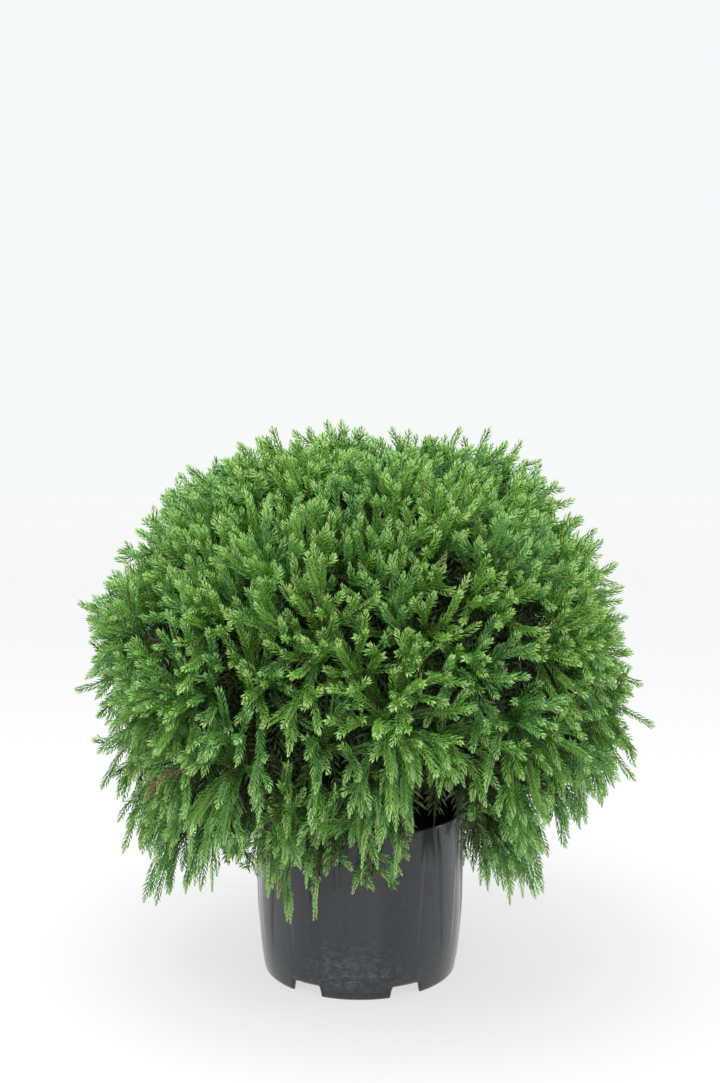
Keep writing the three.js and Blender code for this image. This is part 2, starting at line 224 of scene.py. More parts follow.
def pot_profile():
    """Radius and height round the wall's section, from the floor's middle underneath."""
    skirt_inside = POT_FOOT_RADIUS - SKIRT_WALL
    rim_inside = POT_RADIUS - POT_WALL
    floor_top = SKIRT_HEIGHT + FLOOR_THICK
    outside = [*LOW_RINGS, *HIGH_RINGS, *(POT_HEIGHT - below for below in RINGS_UNDER_RIM)]
    return [
        *((radius, SKIRT_HEIGHT) for radius in FLOOR_RINGS),
        (skirt_inside - FLOOR_ROUND, SKIRT_HEIGHT),
        (skirt_inside, SKIRT_HEIGHT - FLOOR_ROUND),
        (skirt_inside, SKIRT_MIDDLE),
        (skirt_inside, EDGE_ROUND),
        (skirt_inside + EDGE_ROUND, 0),
        (POT_FOOT_RADIUS - FOOT_ROUND, 0),
        (wall_radius(0), FOOT_ROUND),
        *((wall_radius(height), height) for height in outside),
        (POT_RADIUS, POT_HEIGHT - EDGE_ROUND),
        (POT_RADIUS - EDGE_ROUND, POT_HEIGHT),
        (rim_inside + RIM_ROUND, POT_HEIGHT),
        (rim_inside, POT_HEIGHT - EDGE_ROUND),
        *((wall_radius(height) - POT_WALL, height) for height in INSIDE_RINGS),
        (wall_radius(floor_top) - POT_WALL, floor_top),
        (0, floor_top),
    ]


def panelled(vertices):
    """The wall's outside with shallow raised panels, which narrow and fade out going down."""
    turn = 2 * math.pi / PANELS
    shaped = []
    for x, y, z in vertices:
        radius = math.hypot(x, y)
        if radius < wall_radius(z) - POT_WALL / 2:
            shaped.append((x, y, z))
            continue
        bearing = math.atan2(y, x)
        off = (bearing - PANEL_FIRST + turn / 2) % turn - turn / 2
        up = min(max((z - PANEL_LOW) / (POT_HEIGHT - PANEL_LOW), 0), 1)
        half_width = mix(PANEL_HALF_LOW, PANEL_HALF_HIGH, up)
        wider = np.interp(abs(off), [0, PANEL_HALF_LOW, turn / 2], [0, half_width, turn / 2])
        bearing += math.copysign(wider, off) - off
        raised = eased((PANEL_HALF_LOW - abs(off)) / PANEL_FLANK + 0.5)
        fade = min(max((z - PANEL_LOW) / PANEL_FADE, 0), 1) * min((POT_HEIGHT - z) / PANEL_END, 1)
        radius += PANEL_DEPTH * raised * fade
        shaped.append((radius * math.cos(bearing), radius * math.sin(bearing), z))
    return shaped


def lathe(profile, sides, lift):
    """A closed turned body; lift moves a point of the profile up at a bearing."""
    vertices, faces = [], []
    rings = []
    for radius, height in profile:
        if radius == 0:
            rings.append([len(vertices)] * sides)
            vertices.append((0, 0, height))
            continue
        ring = []
        for i in range(sides):
            bearing = 2 * math.pi * i / sides
            up = lift(bearing, radius, height)
            ring.append(len(vertices))
            vertices.append((radius * math.cos(bearing), radius * math.sin(bearing), up))
        rings.append(ring)
    for low, high in zip(rings, rings[1:]):
        for i in range(sides):
            j = (i + 1) % sides
            face = [low[i], low[j], high[j], high[i]]
            faces.append([v for k, v in enumerate(face) if v not in face[:k]])
    return vertices, faces


def over_notches(bearing, radius, height):
    """The skirt's edge rises over the notches, and the rings just above it close up."""
    if radius < POT_FOOT_RADIUS - SKIRT_WALL - FLOOR_ROUND / 2 or height >= NOTCH_ROOM:
        return height
    edge = notch_height(bearing)
    return edge + height * (NOTCH_ROOM - edge) / NOTCH_ROOM


PLASTIC = (0.0155, 0.018, 0.0225)
# the pale tint of the stains, the dust and the worn bands, and also of the bands' painted
# reflection
PALE_MARKS_AND_SHEEN = (0.2, 0.21, 0.215)
SPLASHED_AT = (-0.010, -0.116, 0.027)


def noise_in(material, scale, detail, stretched=(1, 1, 1)):
    """An uneven pattern in the piece's own space, stretched along its axes."""
    nodes, links = material.node_tree.nodes, material.node_tree.links
    place_in = nodes.new("ShaderNodeTexCoord")
    mapping = nodes.new("ShaderNodeMapping")
    mapping.inputs["Scale"].default_value = stretched
    links.new(place_in.outputs["Object"], mapping.inputs["Vector"])
    field = nodes.new("ShaderNodeTexNoise")
    field.inputs["Scale"].default_value = scale
    field.inputs["Detail"].default_value = detail
    links.new(mapping.outputs["Vector"], field.inputs["Vector"])
    return field.outputs["Fac"]


def fine_relief(material, pattern, strength, distance):
    """Lets a pattern stand out of a material's surface."""
    nodes, links = material.node_tree.nodes, material.node_tree.links
    relief = nodes.new("ShaderNodeBump")
    relief.inputs["Strength"].default_value = strength
    relief.inputs["Distance"].default_value = distance
    links.new(pattern, relief.inputs["Height"])
    links.new(relief.outputs["Normal"], nodes["Principled BSDF"].inputs["Normal"])


def pot_material():
    material = plain_material("dark_plastic", PLASTIC, roughness=0.3, specular=0.3)
    nodes, links = material.node_tree.nodes, material.node_tree.links
    shader = nodes["Principled BSDF"]
    shader.inputs["Coat Weight"].default_value = 0.4
    shader.inputs["Coat Roughness"].default_value = 0.09
    place_in = nodes.new("ShaderNodeTexCoord")

    def ranged(value, given, wanted):
        node = nodes.new("ShaderNodeMapRange")
        for socket, setting in zip(("From Min", "From Max", "To Min", "To Max"), given + wanted):
            node.inputs[socket].default_value = setting
        links.new(value, node.inputs["Value"])
        return node.outputs["Result"]

    def worked_out(operation, *values):
        node = nodes.new("ShaderNodeMath")
        node.operation = operation
        for socket, value in zip(node.inputs, values):
            if isinstance(value, float):
                socket.default_value = value
            else:
                links.new(value, socket)
        return node.outputs["Value"]

    # handling marks and painted reflection: faint upright bands that are duller, and a little paler
    # partly from wear and partly as painted reflection
    bands = noise_in(material, scale=1, detail=3, stretched=(30, 30, 2.5))
    worn_and_sheen_bands = ranged(bands, (0.35, 0.7), (0, 1))

    # dried splashes: the thin pale edges of drops, thickest low on the front
    drops = noise_in(material, scale=36, detail=6, stretched=(1, 1, 3))
    off_edge = worked_out("ABSOLUTE", worked_out("SUBTRACT", drops, 0.5))
    edge_of_drop = ranged(off_edge, (0, 0.02), (1, 0))
    dust = ranged(noise_in(material, scale=150, detail=5), (0.42, 0.7), (0, 1))
    distance = nodes.new("ShaderNodeVectorMath")
    distance.operation = "DISTANCE"
    distance.inputs[1].default_value = SPLASHED_AT
    links.new(place_in.outputs["Object"], distance.inputs[0])
    splashed = ranged(distance.outputs["Value"], (0.02, 0.06), (1, 0.12))
    parts = nodes.new("ShaderNodeSeparateXYZ")
    links.new(place_in.outputs["Object"], parts.inputs["Vector"])
    low_down = ranged(parts.outputs["Z"], (0.02, 0.1), (1, 0))
    above_edge = ranged(parts.outputs["Z"], (0.008, 0.018), (0, 1))
    belt = worked_out("MULTIPLY", worked_out("MULTIPLY", splashed, low_down), above_edge)
    marks = worked_out("ADD", edge_of_drop, worked_out("MULTIPLY", dust, 0.5))
    stained = worked_out("MULTIPLY", marks, belt)

    # the marks are paler and duller than the clean plastic; the bands' paler tint is partly painted
    # reflection
    worn_and_sheen_grey = worked_out("MULTIPLY", worn_and_sheen_bands, 0.06)
    grey = worked_out("ADD", worn_and_sheen_grey, worked_out("MULTIPLY", dust, 0.03))
    pale = worked_out("ADD", worked_out("MULTIPLY", stained, 0.36), grey)
    tint = nodes.new("ShaderNodeMix")
    tint.data_type = "RGBA"
    tint.inputs["A"].default_value = (*PLASTIC, 1)
    tint.inputs["B"].default_value = (*PALE_MARKS_AND_SHEEN, 1)
    links.new(pale, tint.inputs["Factor"])
    links.new(tint.outputs["Result"], shader.inputs["Base Color"])
    sheen_loss = worked_out("MULTIPLY", stained, 0.35)
    roughness = worked_out("ADD", ranged(worn_and_sheen_bands, (0, 1), (0.17, 0.28)), sheen_loss)
    links.new(roughness, shader.inputs["Roughness"])
    fine_relief(material, bands, strength=0.15, distance=0.0006)
    return material


pot_vertices, pot_faces = lathe(pot_profile(), ROUND_SIDES, over_notches)
pot = mesh_piece("nursery_pot", panelled(pot_vertices), pot_faces, pot_material())
pot.data.flip_normals()
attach(pot, "root")
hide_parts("pot")

# ---- Compost ----
# Bark compost and roots fill the pot. Its top is crumbly and strewn with loose chips of bark,
# and it falls a little towards the wall.
soil_low, soil_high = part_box("root_ball")
SOIL_MIDDLE = 0.052
SOIL_RISE = 0.003
SOIL_CLEAR = 0.0008
SOIL_ROUND = 0.002
SOIL_SIDES = 120
SOIL_RINGS = 38
INNERMOST = 0.004
CRUMB = 0.0022
CRUMBS_A_METRE = 160
BED_RINGS = 20
CHIPS_CLEAR = 0.009
CHIPS_A_SQUARE_METRE = 42000.0
COMPOST = (0.030, 0.021, 0.015)
CHIPS = (0.062, 0.040, 0.026)
compost_look = plain_material("bark_compost", COMPOST, roughness=0.95, specular=0.2)


def soil_height(x, y):
    out = max(math.hypot(x, y) - SOIL_MIDDLE, 0) / (POT_RADIUS - SOIL_MIDDLE)
    crumbs = noise.fractal(Vector((x, y, 0)) * CRUMBS_A_METRE, 1.0, 2.0, 3) * CRUMB
    return soil_high[2] - CRUMB - SOIL_RISE * out + crumbs


def soil_profile():
    side = POT_RADIUS - POT_WALL - SOIL_CLEAR
    bottom = wall_radius(soil_low[2]) - POT_WALL - SOIL_CLEAR
    rim = soil_high[2] - SOIL_RISE
    rings = [(radius, rim) for radius in np.linspace(side - SOIL_ROUND, INNERMOST, SOIL_RINGS)]
    return [(0, soil_low[2]), (bottom, soil_low[2]), (side, rim - 0.004), *rings, (0, rim)]


def crumbly(bearing, radius, height):
    """The top's height with its crumbs; the side and the bottom stay plain."""
    if height < soil_high[2] - SOIL_RISE - 0.001:
        return height
    return soil_height(radius * math.cos(bearing), radius * math.sin(bearing))


soil_vertices, soil_faces = lathe(soil_profile(), SOIL_SIDES, crumbly)
soil = mesh_piece("compost", soil_vertices, soil_faces, compost_look)
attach(soil, "root")
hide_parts("root_ball")


def node_tree(name, *inputs):
    """An empty Geometry Nodes tree with a geometry socket and the inputs that are named."""
    tree = bpy.data.node_groups.new(name, "GeometryNodeTree")
    tree.interface.new_socket("Geometry", in_out="INPUT", socket_type="NodeSocketGeometry")
    for label, kind in inputs:
        tree.interface.new_socket(label, in_out="INPUT", socket_type=f"NodeSocket{kind}")
    tree.interface.new_socket("Geometry", in_out="OUTPUT", socket_type="NodeSocketGeometry")
    return tree, tree.nodes.new("NodeGroupInput"), tree.nodes.new("NodeGroupOutput")


def finish_tree(tree, given, made, geometry):
    """Ends a tree: its instances become real, and all of it gets the material that is given."""
    real = tree.nodes.new("GeometryNodeRealizeInstances")
    paint = tree.nodes.new("GeometryNodeSetMaterial")
    tree.links.new(geometry, real.inputs["Geometry"])
    tree.links.new(real.outputs["Geometry"], paint.inputs["Geometry"])
    tree.links.new(given.outputs["Material"], paint.inputs["Material"])
    tree.links.new(paint.outputs["Geometry"], made.inputs["Geometry"])
    return tree


def random_node(tree, data_type, seed, low=None, high=None):
    """A seeded random value, between two numbers where they are given."""
    node = tree.nodes.new("FunctionNodeRandomValue")
    node.data_type = data_type
    node.inputs["Seed"].default_value = seed
    for socket, value in (("Min", low), ("Max", high)):
        if value is not None:
            node.inputs[socket].default_value = value
    return node


def grown(source, tree, name, **values):
    """The plain mesh that a tree makes of a source object, which is then removed."""
    modifier = source.modifiers.new(name, "NODES")
    modifier.node_group = tree
    for item in tree.interface.items_tree:
        label = item.name.lower().replace(" ", "_")
        if item.in_out == "INPUT" and label in values:
            modifier[item.identifier] = values[label]
    graph = bpy.context.evaluated_depsgraph_get()
    mesh = bpy.data.meshes.new_from_object(source.evaluated_get(graph), depsgraph=graph)
    source.modifiers.clear()
    bpy.data.objects.remove(source)
    for attribute in [a.name for a in mesh.attributes if not a.is_internal]:
        if attribute not in ("position", "sharp_face", "material_index"):
            mesh.attributes.remove(mesh.attributes[attribute])
    mesh.name = name
    return in_scene(name, mesh)


def chip_tree():
    tree, given, made = node_tree(
        "chips_on_compost", ("Chip", "Object"), ("Density", "Float"), ("Material", "Material")
    )
    nodes, links = tree.nodes, tree.links
    scatter = nodes.new("GeometryNodeDistributePointsOnFaces")
    scatter.inputs["Seed"].default_value = 4
    links.new(given.outputs["Geometry"], scatter.inputs["Mesh"])
    links.new(given.outputs["Density"], scatter.inputs["Density"])
    chip_in = nodes.new("GeometryNodeObjectInfo")
    links.new(given.outputs["Chip"], chip_in.inputs["Object"])
    turn = random_node(tree, "FLOAT_VECTOR", seed=0, low=(-0.5, -0.5, 0), high=(0.5, 0.5, 6.28))
    size = random_node(tree, "FLOAT_VECTOR", seed=7, low=(0.4, 0.4, 0.5), high=(1.5, 1.1, 1.2))
    put = nodes.new("GeometryNodeInstanceOnPoints")
    links.new(scatter.outputs["Points"], put.inputs["Points"])
    links.new(chip_in.outputs["Geometry"], put.inputs["Instance"])
    links.new(turn.outputs["Value"], put.inputs["Rotation"])
    links.new(size.outputs["Value"], put.inputs["Scale"])
    return finish_tree(tree, given, made, put.outputs["Instances"])


def chip():
    """One flake of bark, a slab with cut corners."""
    long, wide, thick = 0.0055, 0.003, 0.0011
    outline = [(-1, -0.4), (-0.5, -1), (0.7, -0.8), (1, 0.2), (0.4, 1), (-0.7, 0.7)]
    low = [(x * long / 2, y * wide / 2, -thick / 2) for x, y in outline]
    high = [(x * long / 2.4, y * wide / 2.6, thick / 2) for x, y in outline]
    corners = len(outline)
    under, top = tuple(range(corners - 1, -1, -1)), tuple(range(corners, 2 * corners))
    pairs = [(i, (i + 1) % corners) for i in range(corners)]
    sides = [(i, j, j + corners, i + corners) for i, j in pairs]
    return mesh_piece("chip", low + high, [under, top, *sides], compost_look, smooth=False)


bark_chip_look = plain_material("bark_chips", CHIPS, roughness=0.9, specular=0.2)
soil_top = soil_high[2] - SOIL_RISE
bed_rings = [(r, soil_top) for r in np.linspace(POT_RADIUS - CHIPS_CLEAR, INNERMOST, BED_RINGS)]
bed_vertices, bed_faces = lathe(bed_rings, SOIL_SIDES // 2, crumbly)
bed = mesh_piece("bed", bed_vertices, bed_faces, compost_look)
flake = chip()
chips = grown(
    bed, chip_tree(), "compost_chips",
    chip=flake, density=CHIPS_A_SQUARE_METRE, material=bark_chip_look,
)
bpy.data.objects.remove(flake)
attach(chips, "root")
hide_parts("root_ball")

# ---- How the shrub branches ----
# The living wood spreads from the crown's centre towards its own points of the outline. Twigs
# and sprays are dealt out evenly over the globe, each grows from the nearest branch of the kind
# before it, and places along it are shares of the way out.
CROWN_HEIGHT = 0.340
REACH = 0.352
TOP_FALL = 0.115
UNDER_FALL = 0.12
SAG = 0.3
SAG_BLEND = 0.12
LOWEST_BOUGH = math.radians(-30)
LOWEST_TIP = math.radians(-42)
FIRST_BEARING = math.radians(130)
GOLDEN = math.pi * (3 - math.sqrt(5))
MASSES = 22
TWIGS = 6
SPRAYS = 2.6
DRAWN_IN = 0.06
BOUGH_END = 0.37
HEART_MIDDLE = 0.55
STEM_END = 0.64
TWIG_LEAVES = (0.42, 0.56)
SPRAY_LEAVES = (0.66, 0.8)
SPRAY_SIDE = 1.4
SWING = 0.24
LOBE_FALL = 0.07
UNEVEN = 0.06
HANGS_FROM = 0.1
HANGS_OVER = 0.5


def draws(seed, count):
    """Seeded numbers from 0 to 1, each worked out from the one before it."""
    state = (seed * 2654435761) % 2**32
    numbers = np.empty(count)
    for i in range(count):
        state = (state * 1664525 + 1013904223) % 2**32
        numbers[i] = state / 2**32
    return numbers


def unit(rays):
    return rays / np.linalg.norm(rays, axis=-1, keepdims=True)


def polar(flat, bearing, height):
    """Places from their distance off the upright axis, their bearing and their height."""
    return np.stack([flat * np.cos(bearing), flat * np.sin(bearing), height], axis=-1)


def reach(elevation):
    rise = np.sin(elevation)
    return REACH * (1 - np.where(rise > 0, TOP_FALL * rise**6, UNDER_FALL * rise**2))


def place(ray, t):
    """The point a share t of the way out along the branch that sets out in direction ray."""
    sets_out = np.arcsin(np.clip(ray[..., 2], -1, 1))
    bearing = np.arctan2(ray[..., 1], ray[..., 0])
    sag = SAG * np.cos(sets_out) / (1 + np.exp(np.sin(sets_out) / SAG_BLEND))
    elevation = sets_out - sag * t**2
    distance = reach(elevation) * t
    height = CROWN_HEIGHT + distance * np.sin(elevation)
    return polar(distance * np.cos(elevation), bearing, height)


def spread(count, lowest, seed, shuffle):
    """Directions spread evenly over the crown, and then shuffled."""
    i = np.arange(count)
    spacing = math.sqrt(2 * math.pi * (1 - math.sin(lowest)) / count)
    height = 1 - (i + 0.5) / count * (1 - math.sin(lowest))
    rays = polar(np.sqrt(1 - height**2), FIRST_BEARING - i * GOLDEN, height)
    shift = draws(seed, 3 * count).reshape(-1, 3) - 0.5
    return unit(rays + shuffle * spacing * shift)


def angle_between(a, b):
    return np.arccos(np.clip(np.sum(a * b, axis=-1), -1, 1))


def lowness(rays):
    """From 0 on the upper branches to 1 on those that hang."""
    return np.clip((HANGS_FROM - rays[:, 2]) / HANGS_OVER, 0, 1)


class Branches:
    """All the branches of one kind. A branch keeps to its parent's way until it leaves it."""

    def __init__(self, rays, parent=None, grows_from=None):
        self.rays = rays
        self.parent = parent
        self.grows_from = grows_from
        self.leaves = np.zeros(len(rays))
        self.end = np.ones(len(rays))
        self.swing = np.full(len(rays), SWING)
        self.upturn = np.zeros(len(rays))

    def way(self, which, t):
        """The directions of some branches at the places t, a row of them for each branch."""
        own = self.rays[which][:, None, :]
        if self.parent is None:
            return np.broadcast_to(own, (*t.shape, 3))
        rest = 1 - np.clip((t - self.leaves[which][:, None]) / self.swing[which][:, None], 0, 1)
        along = self.parent.way(self.grows_from[which], t)
        return unit(mix(along, own, (1 - rest**2)[..., None]))

    def lift(self, which, t):
        """How far the light has drawn the branches up at the places t."""
        if self.parent is None:
            return np.zeros(t.shape)
        leaves = self.leaves[which][:, None]
        past = np.clip((t - leaves) / (self.end[which][:, None] - leaves), 0, 1)
        return self.parent.lift(self.grows_from[which], t) + self.upturn[which][:, None] * past**2

    def path(self, which, start, end, steps):
        """Points along some branches, from one place to another on each."""
        t = mix(start[which][:, None], end[which][:, None], np.linspace(0, 1, steps)[None, :])
        points = place(self.way(which, t), t)
        points[..., 2] += self.lift(which, t)
        return points


def dealt_out(parent, count, seed, shuffle, leaves, widest):
    """Branches dealt out over the masses, each grown from the nearest one in its own mass."""
    rays = spread(count, LOWEST_TIP, seed, shuffle)
    mass = np.argmax(rays @ masses.rays.T, axis=1)
    rays = unit(mix(rays, masses.rays[mass], DRAWN_IN))
    near = np.where(mass[:, None] == parent.mass[None, :], rays @ parent.rays.T, -2)
    kind = Branches(rays, parent, np.argmax(near, axis=1))
    kind.mass = mass
    off = angle_between(rays, parent.rays[kind.grows_from])
    kind.leaves = mix(leaves[1], leaves[0], np.minimum(off / widest, 1))
    return kind


mass_angle = math.sqrt(2 * (1 - math.sin(LOWEST_BOUGH)) / MASSES)
twig_angle = mass_angle / math.sqrt(TWIGS)
twig_count = MASSES * TWIGS
spray_count = round(twig_count * SPRAYS)
masses = Branches(spread(MASSES, LOWEST_BOUGH, 22, 0.1))
masses.mass = np.arange(MASSES)
twigs = dealt_out(masses, twig_count, 95, 0.35, TWIG_LEAVES, mass_angle)
sprays = dealt_out(twigs, spray_count, 86, 0.3, SPRAY_LEAVES, twig_angle * SPRAY_SIDE)
twigs.end = np.full(twig_count, SPRAY_LEAVES[0])
np.maximum.at(twigs.end, sprays.grows_from, sprays.leaves + 0.01)
off_axis = angle_between(sprays.rays, masses.rays[sprays.mass]) / mass_angle
sprays.end = 1 - LOBE_FALL * off_axis**2 - UNEVEN * draws(100, spray_count)
masses.tint = draws(10, MASSES)
twigs.tint = draws(11, twig_count)
sprays.tint = draws(12, spray_count) + 0.3 * lowness(sprays.rays)

# ---- Shoots ----
# The growth of the last few years stands in a spiral round the branch that carries it: shoots on
# the sprays, shaded ones on the twigs and boughs inside, and forks on the shoots. The tips turn
# up to the light, and those low down hang.
FRONT_SHORT = 0.34
FRONT_HEM = 0.03
HEM_RAGGED = 0.03
PLUMES = 0.155
PLUMES_MIDDLE = 0.3
UPTURN = 0.042
LEAST_UPTURN = 0.4
SIDE_UPTURN = 0.25
DROOP = 0.045
DROOPS_FROM = 0.45
DROOPS_OVER = 0.5
HANGS_BACK = 0.06
# pairs: the least and the most, or the values at the foot and at the top of the parent
PLACES = (0.1, 0.9)
FOOT_TO_TOP = (1.2, 0.8)
LENGTHS = (0.7, 1.2)
TURNS = (-0.5, 0.5)
ASIDE = (0.6, 1.3)
HANGING_ASIDE = 0.85
SHORTEST = 0.03
SHOOT_SWING = 1.3
TINT_VARIES = 0.15
BARE_END = (0.16, 0.26)


def turned_aside(rays, angle, bearing):
    """Rays turned by an angle, each towards a bearing of its own round itself."""
    east = unit(np.cross([0, 0, 1], rays))
    north = np.cross(rays, east)
    aside = east * np.cos(bearing)[:, None] + north * np.sin(bearing)[:, None]
    return rays * np.cos(angle)[:, None] + aside * np.sin(angle)[:, None]


def outermost(rays):
    """How far out the crown goes in some directions. It hangs less low at the front."""
    front = np.clip(-rays[:, 1], 0, 1) ** 3
    return 1 - FRONT_SHORT * front * lowness(rays)


def side_shoots(parent, each, start, stop, free, aside, seed, hem=0, inside=0.03):
    """Shoots set in a spiral round each parent from start to stop, with a free length each.

    Those low on the parent are longer and end farther aside. Hanging ones keep closer, and
    with a hem of 1 they run on until they hang nearly as low as their parent. They all end
    a little inside the crown's outline.
    """
    count = len(parent.rays) * each
    grows_from = np.repeat(np.arange(len(parent.rays)), each)
    order = np.tile(np.arange(each), len(parent.rays))
    uneven = draws(seed, 4 * count).reshape(4, -1)
    along = (order + mix(*PLACES, uneven[0])) / each
    low = lowness(parent.rays)[grows_from]
    leaves = mix(start[grows_from], stop[grows_from], along)
    length = free * mix(*FOOT_TO_TOP, along) * mix(*LENGTHS, uneven[1])
    hangs = parent.end[grows_from] - HANGS_BACK * uneven[1]
    furthest = outermost(parent.rays)[grows_from] - inside
    end = np.minimum(mix(leaves + length, hangs, hem * low), furthest)
    end = np.maximum(end, leaves + SHORTEST)
    bearing = GOLDEN * order + GOLDEN * 2 * grows_from + mix(*TURNS, uneven[2])
    angle = aside * mix(*FOOT_TO_TOP, along) * mix(*ASIDE, uneven[3])
    angle = angle * mix(1, HANGING_ASIDE, low) / REACH
    rays = turned_aside(parent.rays[grows_from], angle / end, bearing)
    rays[:, 2] = np.maximum(rays[:, 2], math.sin(LOWEST_TIP))
    kind = Branches(unit(rays), parent, grows_from)
    kind.leaves = leaves
    kind.end = end
    kind.swing = (end - leaves) * SHOOT_SWING
    kind.tint = parent.tint[grows_from] + TINT_VARIES * (uneven[3] - 0.5)
    return kind


def turned_up(kind, share, seed):
    """How far each branch turns up. It is most at the front and back, and low ones hang."""
    level = 1 - np.maximum(kind.rays[:, 2], 0) ** 4
    faces_viewer = mix(SIDE_UPTURN, 1, kind.rays[:, 1] ** 2)
    hangs = np.clip((DROOPS_FROM - kind.rays[:, 2]) / DROOPS_OVER, 0, 1)
    down = DROOP * mix(faces_viewer, 1, lowness(kind.rays))
    most = share * mix(UPTURN * level * faces_viewer, -down, hangs)
    return most * mix(LEAST_UPTURN, 1, draws(seed, len(kind.rays)))


hanging = lowness(sprays.rays)
front = np.clip(-sprays.rays[:, 1], 0, 1)
furthest = outermost(sprays.rays)
sprays.end = sprays.end + furthest - 1 - hanging * HEM_RAGGED * draws(13, spray_count)
sprays.end -= PLUMES * (draws(44, twig_count)[sprays.grows_from] - PLUMES_MIDDLE)
sprays.end = np.minimum(sprays.end, furthest - FRONT_HEM * hanging * front)
sprays.upturn = turned_up(sprays, 1, seed=14)
shoots = side_shoots(
    sprays, each=6, start=sprays.leaves - 0.03, stop=sprays.end - mix(*BARE_END, hanging),
    free=0.15, aside=0.036, seed=21, hem=1,
)
shoots.upturn = turned_up(shoots, 0.4, seed=22)
inner_shoots = side_shoots(
    twigs, each=15, start=np.full(twig_count, 0.34),
    stop=twigs.end - 0.07 * (1 + lowness(twigs.rays)),
    free=0.14, aside=0.06, seed=31, inside=0.13,
)
heart_shoots = side_shoots(
    masses, each=66, start=np.full(MASSES, 0.12), stop=np.full(MASSES, 0.6),
    free=0.17, aside=0.085, seed=35, inside=0.25,
)
heart_shoots.upturn = -0.08 * draws(36, len(heart_shoots.rays))
shoot_length = shoots.end - shoots.leaves
forks = side_shoots(
    shoots, each=2, start=shoots.leaves + 0.25 * shoot_length,
    stop=shoots.leaves + 0.85 * shoot_length,
    free=0.056, aside=0.021, seed=41, hem=0.6,
)
forks.upturn = turned_up(forks, 0.15, seed=42)

# ---- The parting and the dead twig ----
# Twigs stay clear of the pot and part over its rim, a little to the right of the front, and
# those that hang carry fewer shoots than the upright ones. One twig low on the left front has
# died, and the shoots round it have given way.
POT_CLEAR = 0.006
PARTING = 0.083
PARTING_WIDTH = 0.056
STRAND = 0.086
STRAND_WIDTH = 0.014
PARTING_TALL = 0.05
PARTING_RISE = 0.31
PARTING_FRONT = 0.8
PLACES_SEEN = 8
LEAST_LEFT = 0.35
THINNED = (
    (twigs, 0), (sprays, 0.34), (shoots, 0.42),
    (inner_shoots, 0.55), (heart_shoots, 0), (forks, 0.3),
)
DEAD_TOWARD = (-140, -4)
DEAD_GROWS_NEAR = (-129, -3)
DEAD_LEAVES = 0.70
DEAD_END = 0.88
GIVEN_WAY = 0.022
GIVEN_DEPTH = 0.05


def toward(bearing, elevation):
    """The direction that has a bearing and an elevation in degrees."""
    bearing, elevation = np.radians((bearing, elevation))
    return polar(np.cos(elevation), bearing, np.sin(elevation))


dead_parent = np.argmax(sprays.rays @ toward(*DEAD_GROWS_NEAR))[None]
dead = Branches(toward(*DEAD_TOWARD)[None, :], sprays, dead_parent)
dead.leaves[:] = DEAD_LEAVES
dead.end[:] = DEAD_END
dead.swing[:] = DEAD_END - DEAD_LEAVES
dead.tint = np.zeros(1)
dead.all = np.array([0])
dead_path = dead.path(dead.all, dead.leaves, dead.end, steps=7)[0, 2:]
dead_out = unit(dead_path - [0, 0, CROWN_HEIGHT])
outwards = np.linspace(0, GIVEN_DEPTH, 4)
dead_room = np.concatenate([dead_path + dead_out * out for out in outwards])


def in_the_open(kind, thinned, seed):
    """Which branches grow: all but those that are thinned, parted or in the pot's way."""
    which = np.arange(len(kind.rays))
    points = kind.path(which, kind.leaves, kind.end, PLACES_SEEN)
    x, y, z = points[..., 0], points[..., 1], points[..., 2]
    inside = (np.hypot(x, y) < POT_RADIUS + POT_CLEAR) & (z < POT_HEIGHT + POT_CLEAR)
    top = POT_HEIGHT + PARTING_TALL - PARTING_RISE * (y + POT_RADIUS)
    parted = (np.abs(x - PARTING) < PARTING_WIDTH / 2) & (np.abs(x - STRAND) > STRAND_WIDTH / 2)
    parted &= (y < -PARTING_FRONT * POT_RADIUS) & (z < top)
    gap = np.linalg.norm(points[:, 2:, None, :] - dead_room, axis=-1).min(axis=(1, 2))
    clear = ~inside.any(axis=1) & (gap > GIVEN_WAY)
    if kind.parent is not masses:
        clear &= kind.parent.clear[kind.grows_from]
        clear &= kind.leaves < kind.parent.end[kind.grows_from]
    clear &= draws(seed, len(which)) > thinned * lowness(kind.rays)

    # one that grows into the parting stops short of it, or goes if little of it would be left
    short = (parted.argmax(axis=1) - 1) / (PLACES_SEEN - 1)
    stops = np.where(parted.any(axis=1), short, 1)
    kind.end = mix(kind.leaves, kind.end, np.maximum(stops, 0.1))
    return clear & (stops > LEAST_LEFT)


for seed, (kind, thinned) in enumerate(THINNED, 60):
    kind.clear = in_the_open(kind, thinned, seed)
    kind.all = np.flatnonzero(kind.clear)
    if kind is sprays:  # a twig without a spray left goes too
        twigs.clear = np.isin(np.arange(twig_count), sprays.grows_from[sprays.all])
        twigs.all = np.flatnonzero(twigs.clear)
dead_forks = side_shoots(
    dead, each=3, start=dead.leaves + 0.07, stop=dead.end - 0.04, free=0.05, aside=0.01, seed=71
)
dead_forks.all = np.arange(3)

